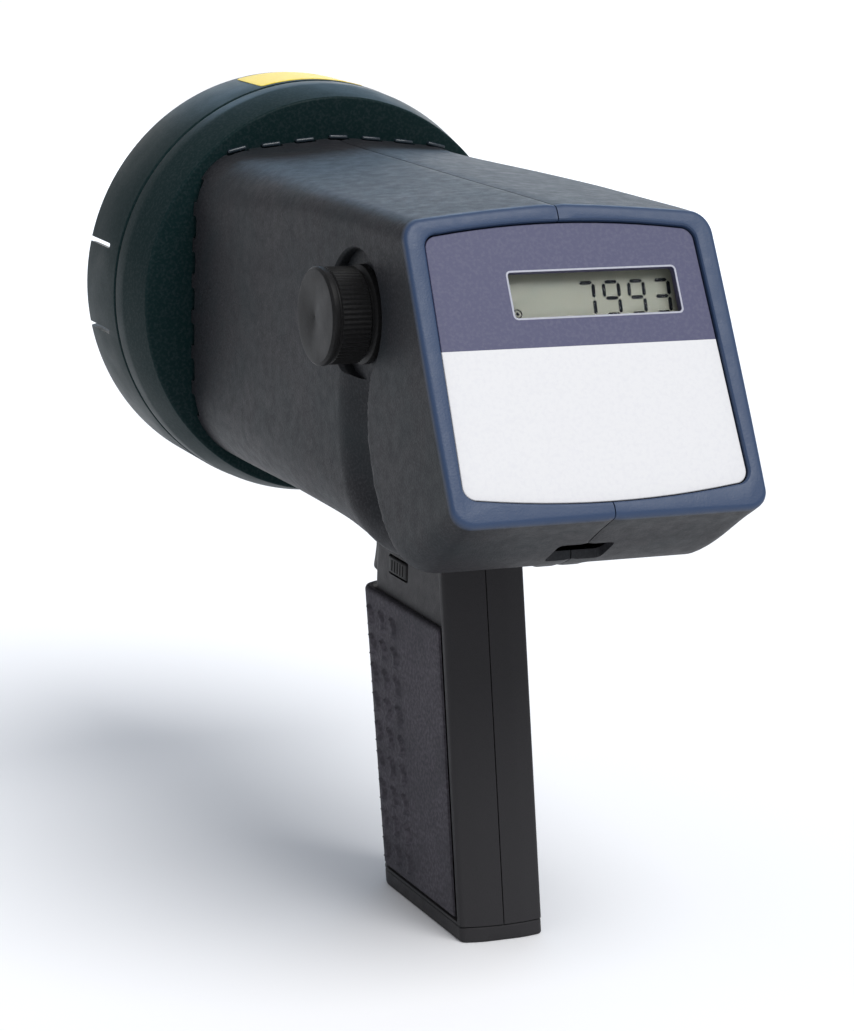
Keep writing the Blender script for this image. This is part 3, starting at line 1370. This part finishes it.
LOOKS = {
    "shell_plastic": shell_look(),
    "bell_plastic": BELL,
    "black_rubber": RUBBER,
    "black_plastic": KNOB,
    "slate_plastic": PLATE,
    "printed_film": SLATE_PRINT,
    "lcd": LCD,
    "label_yellow": YELLOW,
    "clear_plastic": clear_look("clear_plastic", (0.95, 0.97, 0.98), 0.03),
    "quartz": clear_look("quartz", (0.98, 0.98, 1.0), 0.01, 1.46),
    "mirror_coat": MIRROR,
    "steel": metal_look("steel", (0.55, 0.56, 0.58), 0.34),
    "brass": metal_look("brass", (0.72, 0.52, 0.22), 0.32),
    "ceramic": plain_look("ceramic", (0.72, 0.68, 0.6), 0.6),
    "board": BOARD,
    "white_plastic": plain_look("white_plastic", (0.75, 0.75, 0.72), 0.45),
    "cell_wrap": plain_look("cell_wrap", (0.03, 0.22, 0.09), 0.3, 300, 0.15),
    "coil": wound_look(),
    "capacitor_sleeve": plain_look("capacitor_sleeve", (0.03, 0.06, 0.18), 0.3, 300, 0.15),
    "lead": plain_look("lead", (0.5, 0.38, 0.05), 0.5, 500, 0.2),
}

# ------------------------------------------------------------------ the pieces
SLOT_OF = {part["node"]: part["material_slot"] for part in frame["record"]["subparts"]}
for node, obj in frame["nodes"].items():
    obj.data.materials.clear()
    obj.data.materials.append(COATED_WINDOW if node == "window_lens" else LOOKS[SLOT_OF[node]])


def dress(obj, name, slot, *nodes, body=HOUSING, look=None, angle=32):
    """Piece with its slot's own material unless another is given."""
    return piece(obj, name, body, slot, look or LOOKS[slot], *(nodes or (name,)), angle=angle)


dress(half_shell(1), "left_shell_moulding", "shell_plastic", "left_shell", angle=28)
dress(half_shell(-1), "right_shell_moulding", "shell_plastic", "right_shell", angle=28)
dress(hood(), "hood_ring", "bell_plastic", "reflector_bezel")
dress(bell(), "bell_ring", "bell_plastic", "reflector_bell")
piece(joined("tabs", [tab(i * VENT_PITCH) for i in range(-3, 4)]), "vent_tabs", HOUSING,
      "bell_plastic", GLOSS_BLACK)
dress(label(), "hood_sticker", "label_yellow", "caution_label")
dress(lens(), "lamp_window", "clear_plastic", "front_lens")
dress(reflector(), "reflector_bowl", "mirror_coat", "reflector", angle=60)
dress(flash_tube(), "xenon_tube", "quartz", "flash_tube", angle=60)
piece(trigger_wire(), "ignition_wire", HOUSING, "steel", LOOKS["steel"], angle=60)

dress(plate(), "panel_backing", "slate_plastic", "panel_plate")
dress(overlay(), "panel_film", "printed_film", "printed_overlay",
      look=[SLATE_PRINT, WHITE_PRINT])
piece(window_border(), "window_border", HOUSING, "printed_film", BORDER)
dress(lcd(), "lcd_module", "lcd", "lcd_glass")
piece(lcd_digits(), "lcd_digits", HOUSING, "lcd", SEGMENT)

dress(knob(), "speed_knob", "black_plastic", "control_knob", body="control_knob", angle=25)
dress(trigger(), "trigger_lever", "black_plastic", "trigger", body="trigger")
dress(lock_button(), "lock_cap", "black_plastic", "lock_button", body="lock_button")

dress(grip_pad(1), "left_grip_rubber", "black_rubber", "left_grip_pad", angle=45)
dress(grip_pad(-1), "right_grip_rubber", "black_rubber", "right_grip_pad", angle=45)
dress(foot_plate(), "foot_cover", "shell_plastic", "foot_plate")
dress(bushing(), "tripod_insert", "brass", "tripod_bushing")
lock_return = coil_spring("lock_spring", 0, 6, 0.3)
dress(lock_return, "lock_return_coil", "steel", "lock_spring", angle=60)
span("lock_spring", 0)[0] * MM
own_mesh(lock_return)
trigger_return = coil_spring("trigger_spring", 1, 5, 0.35)
dress(trigger_return, "trigger_return_coil", "steel", "trigger_spring", angle=60)
span("trigger_spring", 1)[1] * MM
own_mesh(trigger_return)
dress(charge_jack(), "charge_socket", "steel", "charge_jack")
dress(sync_jack(), "sync_socket", "steel", "sync_jack")

for i, (y, z) in enumerate(CASE_SCREWS, 1):
    obj = placed(screw(14), Matrix.Rotation(math.radians(-90), 4, "Z"), (-7 - GAP, y, z))
    dress(obj, f"case_bolt_{i}", "steel", f"case_screw_{i}")
for i, (x, z) in enumerate(BELL_SCREWS, 1):
    obj = placed(screw(9), Matrix.Identity(4), (x, BELL_BACK - 2.5 - GAP, z))
    dress(obj, f"bell_bolt_{i}", "steel", f"bell_screw_{i}")
for i, (x, y) in enumerate(FOOT_SCREWS, 1):
    obj = placed(screw(7), Matrix.Rotation(math.radians(90), 4, "X"), (x, y, FOOT + 2.3))
    dress(obj, f"foot_bolt_{i}", "steel", f"foot_screw_{i}")


# ------------------------------------------------------------------ studio
SKY_COLOUR = (0.93, 0.95, 1.0, 1.0)
SKY_STRENGTH = 0.52
SUN_ENERGY = 2.4
SUN_ANGLE = math.radians(42)
SUN_FROM = Vector((-0.19, 0.48, 0.857))
CARD_AIM = (0.0, 0.0, 0.2)
FLOOR_R = 9.0


def card(name, place, size, power, colour=(1, 1, 1)):
    """Soft rectangular light aimed at the object."""
    data = bpy.data.lights.new(name, "AREA")
    data.shape = "RECTANGLE"
    data.size, data.size_y = size
    data.energy = power
    data.color = colour
    light = linked(name, data)
    light.location = place
    light.rotation_euler = (Vector(CARD_AIM) - Vector(place)).to_track_quat("-Z", "Y").to_euler()


def floor():
    """Plain pale floor."""
    angles = np.linspace(0, 2 * math.pi, 96, endpoint=False)
    mesh = bpy.data.meshes.new("floor")
    points = [(FLOOR_R * math.cos(a), FLOOR_R * math.sin(a), 0.0) for a in angles]
    mesh.from_pydata(points, [], [list(range(len(points)))])
    obj = linked("floor", mesh)
    look = Look("pale_floor", (0.90, 0.90, 0.91), 0.8, specular=0.0)
    look.mottle(3, (0.89, 0.89, 0.90))
    mesh.materials.append(look.material)


def studio():
    scene = bpy.context.scene
    scene.view_settings.view_transform = "Standard"
    scene.view_settings.look = "None"
    world_data = bpy.data.worlds.new("studio")
    scene.world = world_data
    world_data.use_nodes = True
    background = world_data.node_tree.nodes["Background"]
    background.inputs["Color"].default_value = SKY_COLOUR
    background.inputs["Strength"].default_value = SKY_STRENGTH
    sun = bpy.data.lights.new("sky", "SUN")
    sun.energy = SUN_ENERGY
    sun.angle = SUN_ANGLE
    linked("sky", sun).rotation_euler = SUN_FROM.to_track_quat("Z", "Y").to_euler()
    card("horizon", (-0.85, -1.75, 0.42), (2.2, 0.42), 5.0)
    card("sky_card", (-0.75, -1.75, 1.0), (1.6, 0.5), 6.0, (0.4, 0.68, 1.0))
    floor()


# ------------------------------------------------------------------ camera
CAMERA_ANGLES = (156.1, 12.63, 1.55)  # azimuth, elevation and roll in degrees
CAMERA_TARGET = Vector((0.0, -0.03058, 0.10554))
CAMERA_DISTANCE = 0.950
CAMERA_LENS = 117.97


def camera():
    """Three-quarter view from behind on the knob's side, a little above."""
    azimuth, elevation, roll = map(math.radians, CAMERA_ANGLES)
    back = Vector((
        math.sin(azimuth) * math.cos(elevation), -math.cos(azimuth) * math.cos(elevation),
        math.sin(elevation),
    ))
    right = Vector((0, 0, 1)).cross(back).normalized()
    up = back.cross(right)
    across = math.cos(roll) * right + math.sin(roll) * up
    upright = -math.sin(roll) * right + math.cos(roll) * up
    data = bpy.data.cameras.new("camera")
    data.lens = CAMERA_LENS
    data.sensor_width = 36
    obj = linked("camera", data)
    pose = Matrix((across, upright, back)).transposed().to_4x4()
    pose.translation = CAMERA_TARGET + back * CAMERA_DISTANCE
    obj.matrix_world = pose
    bpy.context.scene.camera = obj


studio()
camera()
